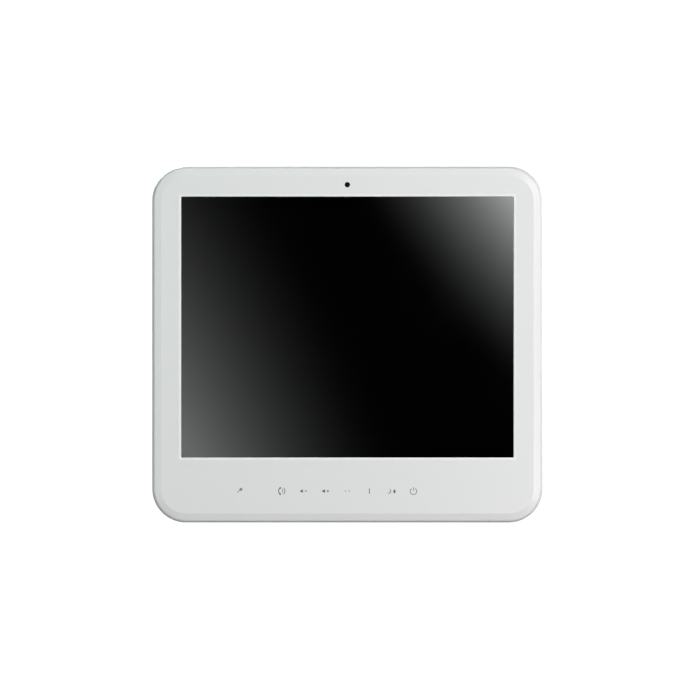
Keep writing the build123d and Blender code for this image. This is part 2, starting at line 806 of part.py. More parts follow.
# ---------------------------------------------------------------- chassis plate
# One folded sheet carries the display from behind: flanges grip its sides and four ears reach the
# bezel's bosses.
with BuildPart() as chassis_plate:
    plate_size = (2 * (flange_inner + chassis_thickness), chassis_top - chassis_bottom)
    plate_place = [(0, (chassis_top + chassis_bottom) / 2)]
    slab(plate_size, chassis_back, lcd_back, plate_place, chassis_corner_radius)
    ear_length = ear_places[-1][0] + boss_radius - plate_size[0] / 2 + ear_overlap
    ear_size = (ear_length, 2 * (boss_radius + ear_margin))
    ear_x = plate_size[0] / 2 - ear_overlap + ear_length / 2
    slab(ear_size, chassis_back, lcd_back, [(math.copysign(ear_x, x), z) for x, z in ear_places])
    flange_end = ear_places[-1][1] - window_z - ear_size[1] / 2 - flange_gap
    flange_places = row_places(2, 2 * flange_inner + chassis_thickness, 0, window_z)
    slab((chassis_thickness, 2 * flange_end), lcd_back, lcd_back + flange_depth, flange_places)
    rod(screw_radius + hole_gap, chassis_back, lcd_back, ear_places, Mode.SUBTRACT)
    cooling_z = board_height / 2 + cooling_slot_rise
    cooling_places = row_places(cooling_slots, cooling_slot_pitch, 0, cooling_z)
    slots(cooling_slot_size, chassis_back, lcd_back, cooling_places)
save(chassis_plate.part, "chassis_plate")

with BuildPart() as chassis_screws:
    chassis_screw_length = chassis_thickness + ear_bore_depth - tip_gap
    screws(
        ear_places,
        chassis_back,
        chassis_screw_length,
        screw_radius,
        screw_head_radius,
        screw_head_height,
    )
save(chassis_screws.part, "chassis_screws")

with BuildPart() as board_standoffs:
    with BuildSketch(at_depth(board_front)) as hexagons:
        with Locations(*standoff_places):
            RegularPolygon(standoff_flats / 2, 6, major_radius=False)
            Circle(screw_radius + thread_gap, mode=Mode.SUBTRACT)
    extrude(hexagons.sketch, amount=chassis_back - board_front)
save(board_standoffs.part, "board_standoffs")

# ---------------------------------------------------------------- main board
with BuildPart() as main_board:
    slab((board_width, board_height), board_back, board_front, corner=board_corner_radius)
    rod(screw_radius + hole_gap, board_back, board_front, standoff_places, Mode.SUBTRACT)
save(main_board.part, "main_board")

with BuildPart() as board_screws:
    board_screw_length = chassis_back - board_back - tip_gap
    screws(
        standoff_places,
        board_back,
        board_screw_length,
        screw_radius,
        screw_head_radius,
        screw_head_height,
    )
save(board_screws.part, "board_screws")

processor_back = board_back - processor_thickness
with BuildPart() as processor:
    slab(processor_size, processor_back, board_back, [(processor_x, part_row_z)])
save(processor.part, "processor")

with BuildPart() as heat_sink:
    fin_root = processor_back - sink_base
    slab(sink_size, fin_root, processor_back, [(processor_x, part_row_z)])
    fin_places = row_places(fin_count, fin_pitch, processor_x, part_row_z)
    slab((fin_thickness, sink_size[1]), processor_back - sink_depth, fin_root, fin_places)
save(heat_sink.part, "heat_sink")

with BuildPart() as memory_chips:
    memory_places = [(x, part_row_z) for x in memory_x]
    slab(memory_size, board_back - memory_thickness, board_back, memory_places)
save(memory_chips.part, "memory_chips")

with BuildPart() as signal_chips:
    slab(chip_size, board_back - chip_thickness, board_back, chip_places)
save(signal_chips.part, "signal_chips")

with BuildPart() as power_inductors:
    coil_back = board_back - coil_depth
    coil_places = [(coil_x, z) for z, _ in row_places(coil_count, coil_pitch, 0, 0)]
    slab((coil_size, coil_size), coil_back, board_back, coil_places, coil_rounding)
    rod(coil_dish_radius, coil_back, coil_back + coil_dish_depth, coil_places, Mode.SUBTRACT)
save(power_inductors.part, "power_inductors")

with BuildPart() as capacitors:
    can_places = [(can_x + n * can_pitch, low_row_z) for n in range(can_count)]
    base_back = board_back - can_base_thickness
    slab((can_base, can_base), base_back, board_back, can_places)
    rod(can_radius, board_back - can_depth, base_back, can_places)
    round_back_rims(capacitors, can_rounding)
save(capacitors.part, "capacitors")

coin_place = [(coin_x, coin_rise - board_height / 2)]
coin_front = board_back - holder_floor
coin_back = coin_front - coin_thickness
with BuildPart() as coin_cell_holder:
    holder_size = (2 * (coin_radius + holder_side), 2 * (coin_radius + holder_wall))
    slab(holder_size, coin_back, board_back, coin_place, holder_side)
    rod(coin_radius + coin_gap, coin_back, coin_front, coin_place, Mode.SUBTRACT)
save(coin_cell_holder.part, "coin_cell_holder")

with BuildPart() as coin_cell:
    rod(coin_radius, coin_back, coin_front, coin_place)
    round_back_rims(coin_cell, can_rounding)
save(coin_cell.part, "coin_cell")

# ---------------------------------------------------------------- terminal block
header_back = board_back - header_depth
header_size = (ways * way_pitch + 2 * header_end_wall, header_height)
header_inner = grown(header_size, -header_wall)
header_place = [(terminal_x, 0)]

with BuildPart() as terminal_header:
    slab(header_size, header_back, board_back, header_place)
    slab(header_inner, header_back, board_back - header_floor, header_place, mode=Mode.SUBTRACT)
    slab((pin_width, pin_width), header_back, board_back, way_places, mode=Mode.SUBTRACT)
save(terminal_header.part, "terminal_header")

with BuildPart() as terminal_pins:
    pin_back = board_back - header_floor - pin_length
    slab((pin_width, pin_width), pin_back, board_back, way_places)
save(terminal_pins.part, "terminal_pins")

plug_shoulder = header_back - plug_gap
plug_back = plug_shoulder - plug_depth
plug_nose = board_back - header_floor - plug_gap
plug_top = plug_height / 2
clamp_places = [(x, -plug_back - wire_entry_depth / 2) for x, _ in way_places]

with BuildPart() as terminal_plug:
    slab(grown(header_inner, -plug_gap), plug_shoulder, plug_nose, header_place)
    slab((ways * way_pitch + 2 * plug_end_wall, plug_height), plug_back, plug_shoulder, header_place)
    slab((plug_channel, plug_channel), plug_back, plug_nose, way_places, mode=Mode.SUBTRACT)
    slab(wire_entry_size, plug_back, plug_back + wire_entry_depth, way_places, mode=Mode.SUBTRACT)
    with BuildSketch(Plane.XY.offset(plug_top)) as clamp_holes:
        with Locations(*clamp_places):
            Circle(clamp_screw_radius + clamp_screw_gap)
    extrude(clamp_holes.sketch, amount=-clamp_screw_sunk - clamp_screw_length, mode=Mode.SUBTRACT)
save(terminal_plug.part, "terminal_plug")

with BuildPart() as clamp_screws:
    head_z = plug_top - clamp_screw_sunk
    with BuildSketch(Plane.XY.offset(head_z)) as clamp_discs:
        with Locations(*clamp_places):
            Circle(clamp_screw_radius)
    extrude(clamp_discs.sketch, amount=-clamp_screw_length)
    with BuildSketch(Plane.XY.offset(head_z)) as driver_slots:
        with Locations(*clamp_places):
            Rectangle(2 * clamp_screw_radius, clamp_slot_width)
    extrude(driver_slots.sketch, amount=-clamp_slot_depth, mode=Mode.SUBTRACT)
save(clamp_screws.part, "clamp_screws")

# ---------------------------------------------------------------- address and reset switches
dip_back = board_back - dip_depth
dip_places = row_places(dip_ways, dip_pitch, dip_x, 0)

with BuildPart() as dip_housing:
    housing_size = (dip_ways * dip_pitch + 2 * dip_end_wall, dip_height)
    slab(housing_size, dip_back, board_back, [(dip_x, 0)])
    slider_width, slider_height = dip_slider_size
    pocket_size = grown((slider_width, slider_height + dip_travel), dip_gap)
    slab(pocket_size, dip_back, dip_back + dip_pocket_depth, dip_places, mode=Mode.SUBTRACT)
save(dip_housing.part, "dip_housing")

for number, (x, z) in enumerate(dip_places, start=1):
    with BuildPart() as dip_slider:
        slider_back = dip_back - dip_slider_proud
        slider_front = dip_back + dip_pocket_depth - dip_gap
        slab(dip_slider_size, slider_back, slider_front, [(x, z - dip_travel / 2)])
    save(dip_slider.part, f"dip_slider_{number}")

reset_back = board_back - reset_depth
reset_place = [(reset_x, 0)]
with BuildPart() as reset_housing:
    slab((reset_size, reset_size), reset_back, board_back, reset_place, reset_corner_radius)
    well_end = reset_back + reset_button_sunk + reset_travel + reset_gap
    rod(reset_button_radius + reset_gap, reset_back, well_end, reset_place, Mode.SUBTRACT)
save(reset_housing.part, "reset_housing")

with BuildPart() as reset_button:
    rod(reset_button_radius, reset_back - reset_button_proud, reset_back + reset_button_sunk, reset_place)
    round_back_rims(reset_button, reset_button_rounding)
save(reset_button.part, "reset_button")

# ---------------------------------------------------------------- touch keys and microphone
with BuildPart() as key_board:
    key_board_place = [((key_board_left + key_board_right) / 2, key_z)]
    key_board_size = (key_board_right - key_board_left, key_board_height)
    slab(key_board_size, key_board_back, key_board_front, key_board_place, key_board_corner_radius)
    hole = small_screw_radius + hole_gap
    rod(hole, key_board_back, key_board_front, key_screw_places, Mode.SUBTRACT)
save(key_board.part, "key_board")

with BuildPart() as key_pads:
    rod(key_pad_radius, key_board_front, face_back, key_places)
save(key_pads.part, "key_pads")

with BuildPart() as key_board_screws:
    key_screw_length = key_board_thickness + key_bore_depth - tip_gap
    screws(
        key_screw_places,
        key_board_back,
        key_screw_length,
        small_screw_radius,
        small_head_radius,
        small_head_height,
    )
save(key_board_screws.part, "key_board_screws")

with BuildPart() as microphone:
    rod(microphone_radius, key_board_front, microphone_front, microphone_place)
save(microphone.part, "microphone")

with BuildPart() as microphone_boot:
    rod(boot_radius, key_board_front, face_back, microphone_place)
    rod(microphone_radius, key_board_front, microphone_front, microphone_place, Mode.SUBTRACT)
    rod(boot_mouth_radius, microphone_front, face_back, microphone_place, Mode.SUBTRACT)
save(microphone_boot.part, "microphone_boot")

# ---------------------------------------------------------------- camera
with BuildPart() as camera_window:
    rod(camera_window_radius, camera_window_back, camera_window_front, camera_place)
save(camera_window.part, "camera_window")

with BuildPart() as camera_board:
    slab(
        camera_board_size,
        camera_board_back,
        camera_board_front,
        camera_place,
        camera_board_corner_radius,
    )
    rod(hole, camera_board_back, camera_board_front, camera_screw_places, Mode.SUBTRACT)
save(camera_board.part, "camera_board")

lens_back = barrel_front - lens_thickness
with BuildPart() as camera_barrel:
    sensor_outline = (sensor_size, sensor_size)
    slab(sensor_outline, camera_board_front, sensor_front, camera_place, sensor_corner_radius)
    rod(barrel_radius, sensor_front, barrel_front, camera_place)
    rod(lens_radius, lens_back, barrel_front, camera_place, Mode.SUBTRACT)
save(camera_barrel.part, "camera_barrel")

with BuildPart() as camera_lens:
    # A disc with a spherical front: sphere and disc meet at the lens's edge
    dome_rise = lens_thickness - lens_edge
    dome_radius = (lens_radius**2 + dome_rise**2) / (2 * dome_rise)
    rod(lens_radius, lens_back, barrel_front, camera_place)
    lens_x, lens_z = camera_place[0]
    with Locations((lens_x, -(barrel_front - dome_radius), lens_z)):
        Sphere(dome_radius, mode=Mode.INTERSECT)
save(camera_lens.part, "camera_lens")

with BuildPart() as camera_screws:
    camera_screw_length = camera_board_thickness + small_bore_depth - tip_gap
    screws(
        camera_screw_places,
        camera_board_back,
        camera_screw_length,
        small_screw_radius,
        small_head_radius,
        small_head_height,
    )
save(camera_screws.part, "camera_screws")

# ---------------------------------------------------------------- speaker
# The cone faces the wall, behind the slots in the rear cover.
speaker_outline = (speaker_size, speaker_size)
cup_floor = cup_front - cup_sheet

with BuildPart() as speaker_gasket:
    slab(speaker_outline, rear_inner, speaker_flange_back, speaker_place, speaker_corner_radius)
    rod(cup_radius, rear_inner, speaker_flange_back, speaker_place, Mode.SUBTRACT)
    rod(small_boss_radius, rear_inner, speaker_flange_back, speaker_screw_places, Mode.SUBTRACT)
save(speaker_gasket.part, "speaker_gasket")

with BuildPart() as speaker_basket:
    slab(
        speaker_outline,
        speaker_flange_back,
        speaker_flange_front,
        speaker_place,
        speaker_corner_radius,
    )
    for sheet, floor_depth, mode in ((0, cup_front, Mode.ADD), (cup_sheet, cup_floor, Mode.SUBTRACT)):
        cup_profile = [
            (0, speaker_flange_back),
            (cup_radius - sheet, speaker_flange_back),
            (cup_radius - sheet, speaker_flange_front),
            (throat_radius - sheet, floor_depth),
            (0, floor_depth),
        ]
        turned(speaker_place[0], cup_profile, mode)
    strip_place = [
        (
            speaker_x + terminal_strip_x,
            speaker_z + (speaker_size - terminal_strip_size[1]) / 2,
        )
    ]
    strip_front = speaker_flange_front + terminal_strip_depth
    slab(terminal_strip_size, speaker_flange_front, strip_front, strip_place)
    hole = small_screw_radius + hole_gap
    rod(hole, speaker_flange_back, speaker_flange_front, speaker_screw_places, Mode.SUBTRACT)
save(speaker_basket.part, "speaker_basket")

with BuildPart() as speaker_cone:
    rim_radius = cup_radius - cup_sheet
    rim_back = speaker_flange_back + cone_recess
    neck_front = cup_floor - dome_height
    cone_profile = [
        (0, neck_front),
        (cone_neck_radius, neck_front),
        (rim_radius - cone_rim, rim_back + cone_sheet),
        (rim_radius, rim_back + cone_sheet),
        (rim_radius, rim_back),
        (rim_radius - cone_rim, rim_back),
        (cone_neck_radius, neck_front - cone_sheet),
        (cone_neck_radius / 2, neck_front - dome_height),
        (0, neck_front - dome_height),
    ]
    turned(speaker_place[0], cone_profile)
save(speaker_cone.part, "speaker_cone")

with BuildPart() as speaker_magnet:
    rod(magnet_radius, cup_front, magnet_front, speaker_place)
    rod(magnet_cap_radius, magnet_front, magnet_front + magnet_cap_thickness, speaker_place)
save(speaker_magnet.part, "speaker_magnet")

with BuildPart() as speaker_screws:
    speaker_screw_length = speaker_flange_front - blind_end - tip_gap
    screws(
        speaker_screw_places,
        speaker_flange_front,
        speaker_screw_length,
        small_screw_radius,
        small_head_radius,
        small_head_height,
        forward=-1,
    )
save(speaker_screws.part, "speaker_screws")

# ---------------------------------------------------------------- internal cables
# Each flat cable runs from a socket on its own board to a socket on the main board's component
# side, along a lane behind the chassis plate. The speaker's two wires end in a socket of their own.
socket_size = (ribbon_width + 2 * socket_margin, socket_length)
half_socket = socket_length / 2
camera_socket_z = camera_place[0][1] - camera_board_size[1] / 2 + half_socket
lcd_socket_z = driver_z + driver_board_size[1] / 2 - socket_inset - half_socket
key_socket_z = key_z + key_board_height / 2 - socket_length
board_socket_z = board_height / 2 - socket_inset - half_socket
wire_socket_x = (board_width - wire_socket_size[0]) / 2

with BuildPart() as cable_sockets:
    board_socket_places = [
        (camera_cable_x, board_socket_z),
        (lcd_cable_x, -board_socket_z),
        (key_cable_x, -board_socket_z),
    ]
    for board_face, places in (
        (camera_board_back, [(camera_cable_x, camera_socket_z)]),
        (driver_back, [(lcd_cable_x, lcd_socket_z)]),
        (key_board_back, [(key_cable_x, key_socket_z)]),
        (board_back, board_socket_places),
    ):
        slab(socket_size, board_face - socket_height, board_face, places)
    wire_socket_place = [(wire_socket_x, wire_socket_z)]
    slab(wire_socket_size, board_back - socket_height, board_back, wire_socket_place)
save(cable_sockets.part, "cable_sockets")

lane = chassis_back - lane_gap
mid_socket = socket_height / 2
main_level = board_back - mid_socket
cable_end = board_socket_z + half_socket

with BuildPart() as camera_cable:
    start_level, start_z = camera_board_back - mid_socket, camera_socket_z - half_socket
    ribbon(
        camera_cable_x,
        [
            (start_level, start_z),
            (start_level, start_z - 2),
            (lane, lcd_top - 6),
            (lane, board_height / 2 + 12),
            (main_level, board_height / 2 + 5),
            (main_level, cable_end),
        ],
    )
save(camera_cable.part, "camera_cable")

with BuildPart() as lcd_cable:
    start_level, start_z = driver_back - mid_socket, lcd_socket_z - half_socket
    ribbon(
        lcd_cable_x,
        [
            (start_level, start_z),
            (start_level, start_z - 6),
            (main_level, start_z - 6),
            (main_level, -cable_end),
        ],
    )
save(lcd_cable.part, "lcd_cable")

with BuildPart() as key_cable:
    start_level, start_z = key_board_back - mid_socket, key_socket_z + half_socket
    ribbon(
        key_cable_x,
        [
            (start_level, start_z),
            (start_level, start_z + 4),
            (lane, start_z + 14),
            (lane, -board_height / 2 - 12),
            (main_level, -board_height / 2 - 5),
            (main_level, -cable_end),
        ],
    )
save(key_cable.part, "key_cable")

with BuildPart() as speaker_wires:
    strip_top = speaker_z + speaker_size / 2
    strip_y = -(speaker_flange_front + terminal_strip_depth / 2)
    for n in range(2):
        wire_x = strip_place[0][0] + (n - 0.5) * wire_spacing
        wire_z = wire_socket_z + (n - 0.5) * wire_spacing
        wire(
            [
                (wire_x, strip_y, strip_top),
                (wire_x, strip_y, strip_top + 8),
                (wire_x, -main_level, strip_top + 24),
                (wire_x, -main_level, wire_z),
                (board_width / 2, -main_level, wire_z),
            ]
        )
save(speaker_wires.part, "speaker_wires")
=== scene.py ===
import math

import bmesh
import bpy
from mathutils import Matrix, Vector


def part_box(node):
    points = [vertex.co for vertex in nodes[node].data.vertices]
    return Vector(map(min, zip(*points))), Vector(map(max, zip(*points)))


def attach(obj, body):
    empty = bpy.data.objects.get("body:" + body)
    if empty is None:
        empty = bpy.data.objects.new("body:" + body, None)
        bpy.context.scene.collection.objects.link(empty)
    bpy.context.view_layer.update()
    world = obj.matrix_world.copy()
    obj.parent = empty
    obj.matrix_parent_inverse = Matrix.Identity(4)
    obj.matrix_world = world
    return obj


# Looks for a wall-hung video intercom monitor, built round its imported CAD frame. Metres; the user
# stands at -Y, the wall is the plane y = 0. The CAD nodes keep their shapes and get materials here;
# printed signs, the label's printing and small board parts are added as pieces of their own.

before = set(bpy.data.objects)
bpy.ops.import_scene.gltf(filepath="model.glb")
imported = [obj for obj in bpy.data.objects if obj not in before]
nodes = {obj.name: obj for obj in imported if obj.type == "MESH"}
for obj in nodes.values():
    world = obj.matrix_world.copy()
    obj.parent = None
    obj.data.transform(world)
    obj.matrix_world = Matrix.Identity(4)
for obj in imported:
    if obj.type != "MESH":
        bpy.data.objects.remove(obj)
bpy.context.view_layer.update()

MM = 0.001
index_of_refraction = 1.5    # of glass and of the casing's plastic


# ---------------------------------------------------------------- material building
class NodeTree:
    """A node tree in the making, with the coordinates that its textures are placed by."""

    def __init__(self, tree, coordinates="Object"):
        self.tree = tree
        self.place = self.add("ShaderNodeTexCoord").outputs[coordinates]

    def add(self, kind, **settings):
        node = self.tree.nodes.new(kind)
        for key, value in settings.items():
            setattr(node, key, value)
        return node

    def link(self, source, target):
        self.tree.links.new(source, target)

    def stretched(self, scale):
        """The object's coordinates, scaled differently along each axis."""
        mapping = self.add("ShaderNodeMapping")
        mapping.inputs["Scale"].default_value = scale
        self.link(self.place, mapping.inputs["Vector"])
        return mapping.outputs["Vector"]

    def noise(self, scale, detail=3.0, stretch=None):
        """A noise value with about this many features to the metre."""
        node = self.add("ShaderNodeTexNoise")
        node.inputs["Scale"].default_value = scale
        node.inputs["Detail"].default_value = detail
        self.link(self.stretched(stretch) if stretch else self.place, node.inputs["Vector"])
        return node.outputs["Fac"]

    def cell_colours(self, scale):
        """Voronoi cells of random colour, about this many to the metre."""
        node = self.add("ShaderNodeTexVoronoi")
        node.inputs["Scale"].default_value = scale
        self.link(self.place, node.inputs["Vector"])
        return node.outputs["Color"]

    def ramp(self, value, stops):
        """Maps a value to colours or greys through (position, colour) stops."""
        node = self.add("ShaderNodeValToRGB")
        elements = node.color_ramp.elements
        while len(elements) < len(stops):
            elements.new(0.5)
        for element, (position, colour) in zip(elements, stops):
            element.position = position
            grey_or_colour = colour if isinstance(colour, tuple) else (colour,) * 3
            element.color = (*grey_or_colour, 1.0)
        self.link(value, node.inputs["Fac"])
        return node.outputs["Color"]

    def span(self, value, low, high, source=(0.0, 1.0)):
        """Maps a value from its source range to low..high."""
        node = self.add("ShaderNodeMapRange")
        node.inputs["From Min"].default_value = source[0]
        node.inputs["From Max"].default_value = source[1]
        node.inputs["To Min"].default_value = low
        node.inputs["To Max"].default_value = high
        self.link(value, node.inputs["Value"])
        return node.outputs["Result"]

    def maths(self, operation, first, second=0.0):
        """One arithmetic step on two values, each a socket or a number."""
        node = self.add("ShaderNodeMath", operation=operation)
        for socket, value in zip(node.inputs, (first, second)):
            if isinstance(value, (int, float)):
                socket.default_value = value
            else:
                self.link(value, socket)
        return node.outputs["Value"]

    def total(self, *values):
        """The sum of several values."""
        result = values[0]
        for value in values[1:]:
            result = self.maths("ADD", result, value)
        return result

    def axis(self, name):
        """One of the object's coordinates, "X", "Y" or "Z"."""
        node = self.add("ShaderNodeSeparateXYZ")
        self.link(self.place, node.inputs["Vector"])
        return node.outputs[name]

    def mix(self, factor, first, second):
        """Blends two colours, each a socket or an (r, g, b)."""
        node = self.add("ShaderNodeMix", data_type="RGBA")
        self.link(factor, node.inputs["Factor"])
        for socket, value in zip((node.inputs[6], node.inputs[7]), (first, second)):
            if isinstance(value, tuple):
                socket.default_value = (*value, 1.0)
            else:
                self.link(value, socket)
        return node.outputs[2]

    def brightness(self, colour):
        """The brightness of a colour socket."""
        node = self.add("ShaderNodeRGBToBW")
        self.link(colour, node.inputs["Color"])
        return node.outputs["Val"]

    def from_edge(self, name, low, high, margin):
        """How far outside a span of one axis, drawn in by a margin, a point lies. Negative is inside."""
        middle, half = (low + high) / 2, (high - low) / 2 - margin
        offset = self.maths("ABSOLUTE", self.maths("SUBTRACT", self.axis(name), middle))
        return self.maths("SUBTRACT", offset, half)


class Surface(NodeTree):
    """A procedural material in the making: a principled shader and the nodes that feed it."""

    def __init__(self, name, roughness=0.5, metallic=0.0):
        self.material = bpy.data.materials.new(name)
        self.material.use_nodes = True
        super().__init__(self.material.node_tree)
        self.shader = self.tree.nodes["Principled BSDF"]
        self.shader.inputs["Roughness"].default_value = roughness
        self.shader.inputs["Metallic"].default_value = metallic
        self.shader.inputs["IOR"].default_value = index_of_refraction

    def colour(self, source):
        self.link(source, self.shader.inputs["Base Color"])

    def roughness(self, source):
        self.link(source, self.shader.inputs["Roughness"])

    def bump(self, height, strength, distance):
        """Adds relief, in metres of height, on top of any relief that is there already."""
        node = self.add("ShaderNodeBump")
        node.inputs["Strength"].default_value = strength
        node.inputs["Distance"].default_value = distance
        self.link(height, node.inputs["Height"])
        normal = self.shader.inputs["Normal"]
        if normal.links:
            self.link(normal.links[0].from_socket, node.inputs["Normal"])
        self.link(node.outputs["Normal"], normal)


def shades(colour, change):
    """Two versions of a colour, a little darker and a little lighter."""
    return tuple(c * (1 - change) for c in colour), tuple(min(c * (1 + change), 1.0) for c in colour)


# ---------------------------------------------------------------- materials
# Noise scales are in features to the metre, and relief depths in metres.
grain_depth = 0.0002         # of moulded plastic
line_depth = 0.00005         # of drawn or plated metal
roll_depth = 0.0001          # of a zinc sheet's rolling lines
track_depth = 0.00004        # of copper tracks and of a flat cable's conductors
track_length, track_pitch, track_width = 6.2 * MM, 1.3 * MM, 0.18 * MM
rim_hidden = 2.6 * MM        # of the glass, behind the bezel's rim on each side
painted_rim_width = 1.9 * MM         # width of the painted highlight round the window, a near-white ring on the bezel
dark_border = 7.0 * MM       # of the glass, measured in from the panel frame's outer edge


def moulded(name, colour, roughness, grain, relief, change=0.03):
    """Moulded plastic or rubber: faint mottling, an even grain and a gloss that varies with it."""
    s = Surface(name, roughness)
    darker, lighter = shades(colour, change)
    s.colour(s.ramp(s.noise(45.0, 4.0), [(0.35, darker), (0.65, lighter)]))
    s.roughness(s.span(s.noise(160.0, 3.0), roughness * 0.85, roughness * 1.15, (0.3, 0.7)))
    s.bump(s.noise(grain, 2.0), relief, grain_depth)
    return s.material


def casing_plastic(name, painted_rim_highlight=False):
    """White satin casing plastic: near-neutral, with a slight drift in tone and a very fine grain.
    With the flag set, a ring round the window is painted near white: a painted highlight for the thin
    light line along the window's edge."""
    s = Surface(name)
    tone = s.ramp(s.noise(14.0), [(0.35, (0.808, 0.809, 0.806)), (0.65, (0.812, 0.813, 0.810))])
    if painted_rim_highlight:
        low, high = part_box("cover_glass")
        beyond = s.maths(
            "MAXIMUM",
            s.from_edge("X", low.x, high.x, rim_hidden),
            s.from_edge("Z", low.z, high.z, rim_hidden),
        )
        # Painted highlight: near white at the window's edge, fading into the plastic's tone across the
        # ring's width
        tone = s.mix(s.span(beyond, 0.0, 1.0, (0.0, painted_rim_width)), (0.99, 0.99, 0.985), tone)
    s.colour(tone)
    s.roughness(s.span(s.noise(400.0, 2.0), 0.252, 0.268, (0.3, 0.7)))
    s.bump(s.noise(2400.0, 2.0), 0.006, grain_depth)
    s.shader.inputs["Coat Weight"].default_value = 0.12
    s.shader.inputs["Coat Roughness"].default_value = 0.2
    return s.material


def display_glass():
    """Black-backed cover glass: the printed border is a shade deeper than the dark panel."""
    s = Surface("black_glass")
    low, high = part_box("lcd_front_frame")
    inside = s.maths(
        "MULTIPLY",
        s.maths("LESS_THAN", s.from_edge("X", low.x, high.x, dark_border), 0.0),
        s.maths("LESS_THAN", s.from_edge("Z", low.z, high.z, dark_border), 0.0),
    )
    s.colour(s.mix(inside, (0.0003, 0.0003, 0.0003), (0.0006, 0.0006, 0.0007)))
    s.roughness(s.span(s.noise(22.0, 5.0), 0.02, 0.05, (0.3, 0.7)))
    return s.material


def zinc_sheet():
    """Galvanised sheet: crystal spangle in tone and gloss, and fine rolling lines."""
    s = Surface("zinc_sheet", metallic=1.0)
    darker, lighter = shades((0.60, 0.61, 0.62), 0.05)
    spangle = s.brightness(s.cell_colours(330.0))
    s.colour(s.ramp(spangle, [(0.1, darker), (0.9, lighter)]))
    s.roughness(s.span(spangle, 0.36, 0.44))
    s.bump(s.noise(900.0, 2.0, stretch=(1.0, 1.0, 0.04)), 0.05, roll_depth)
    return s.material


def brushed(name, colour, roughness=0.3, stretch=(0.03, 1.0, 1.0), change=0.08):
    """Drawn, rolled or anodised metal, with fine lines along the stretched axis."""
    s = Surface(name, roughness, metallic=1.0)
    darker, lighter = shades(colour, change)
    lines = s.noise(1800.0, 3.0, stretch=stretch)
    s.colour(s.ramp(lines, [(0.3, darker), (0.7, lighter)]))
    s.roughness(s.span(lines, roughness * 0.8, roughness * 1.25, (0.3, 0.7)))
    s.bump(lines, 0.04, line_depth)
    return s.material


def plated(name, colour, roughness=0.22):
    """Bright plated or turned metal with a slightly clouded surface."""
    s = Surface(name, roughness, metallic=1.0)
    darker, lighter = shades(colour, 0.07)
    cloud = s.noise(700.0, 4.0)
    s.colour(s.ramp(cloud, [(0.3, darker), (0.7, lighter)]))
    s.roughness(s.span(cloud, roughness * 0.7, roughness * 1.4, (0.3, 0.7)))
    s.bump(s.noise(4000.0, 2.0), 0.03, line_depth)
    return s.material


def circuit_board():
    """Green solder mask over copper: tracks show as slightly lighter, raised lines."""
    s = Surface("circuit_board")
    tracks = s.add("ShaderNodeTexBrick", offset=0.5, squash=1.0)
    tracks.inputs["Scale"].default_value = 1.0
    tracks.inputs["Brick Width"].default_value = track_length
    tracks.inputs["Row Height"].default_value = track_pitch
    tracks.inputs["Mortar Size"].default_value = track_width
    tracks.inputs["Mortar Smooth"].default_value = 0.1
    turned = s.add("ShaderNodeMapping")
    turned.inputs["Rotation"].default_value = (math.radians(90), 0, 0)
    s.link(s.place, turned.inputs["Vector"])
    s.link(turned.outputs["Vector"], tracks.inputs["Vector"])
    mask = s.mix(tracks.outputs["Fac"], (0.010, 0.115, 0.040), (0.030, 0.210, 0.075))
    patches = s.ramp(s.noise(90.0, 2.0), [(0.48, 0.0), (0.52, 1.0)])
    s.colour(s.mix(patches, mask, (0.014, 0.145, 0.05)))
    s.roughness(s.span(s.noise(500.0), 0.28, 0.42))
    s.bump(tracks.outputs["Fac"], 0.25, track_depth)
    return s.material


def flat_cable_plastic():
    """Clear-white flat cable with its conductors showing as grey stripes along it."""
    s = Surface("flat_cable", 0.3)
    stripe = s.add("ShaderNodeTexWave", bands_direction="X")
    stripe.inputs["Scale"].default_value = 320.0
    s.link(s.place, stripe.inputs["Vector"])
    s.colour(s.ramp(stripe.outputs["Fac"], [(0.4, (0.83, 0.85, 0.88)), (0.6, (0.50, 0.51, 0.53))]))
    s.bump(stripe.outputs["Fac"], 0.2, track_depth)
    return s.material


def tinted_glass(name, colour, roughness=0.02, coat=0.0):
    """Dark tinted window or coated lens."""
    s = Surface(name, roughness)
    darker, lighter = shades(colour, 0.3)
    s.colour(s.ramp(s.noise(300.0, 2.0), [(0.4, darker), (0.6, lighter)]))
    s.shader.inputs["Coat Weight"].default_value = coat
    s.roughness(s.span(s.noise(900.0), roughness * 0.7, roughness * 1.5))
    return s.material


def board_plastics():
    """The moulded plastics and rubbers, by name: colour, roughness, grain to the metre, relief."""
    kinds = {
        "black_plastic": ((0.018, 0.018, 0.019), 0.48, 2600.0, 0.06),
        "foam": ((0.022, 0.022, 0.023), 0.85, 1500.0, 0.3),
        "rubber": ((0.030, 0.030, 0.031), 0.7, 1800.0, 0.15),
        "conductive_foam": ((0.05, 0.05, 0.05), 0.8, 1500.0, 0.3),
        "diffuser_film": ((0.86, 0.87, 0.87), 0.4, 4000.0, 0.02),
        "clear_acrylic": ((0.75, 0.8, 0.8), 0.12, 800.0, 0.01),
        "ferrite": ((0.055, 0.055, 0.058), 0.6, 1500.0, 0.12),
        "green_plastic": ((0.028, 0.30, 0.085), 0.42, 2200.0, 0.04),
        "blue_plastic": ((0.012, 0.07, 0.36), 0.32, 2200.0, 0.03),
        "white_slider": ((0.82, 0.81, 0.78), 0.4, 2200.0, 0.03),
        "red_button": ((0.48, 0.022, 0.015), 0.4, 2200.0, 0.03),
        "cone_paper": ((0.028, 0.027, 0.026), 0.8, 1200.0, 0.35),
        "ivory_plastic": ((0.74, 0.69, 0.56), 0.45, 2200.0, 0.03),
        "wire_red": ((0.42, 0.015, 0.012), 0.35, 1500.0, 0.03),
    }
    return {
        name: moulded(name, *kind)
        for name, kind in kinds.items()
    }


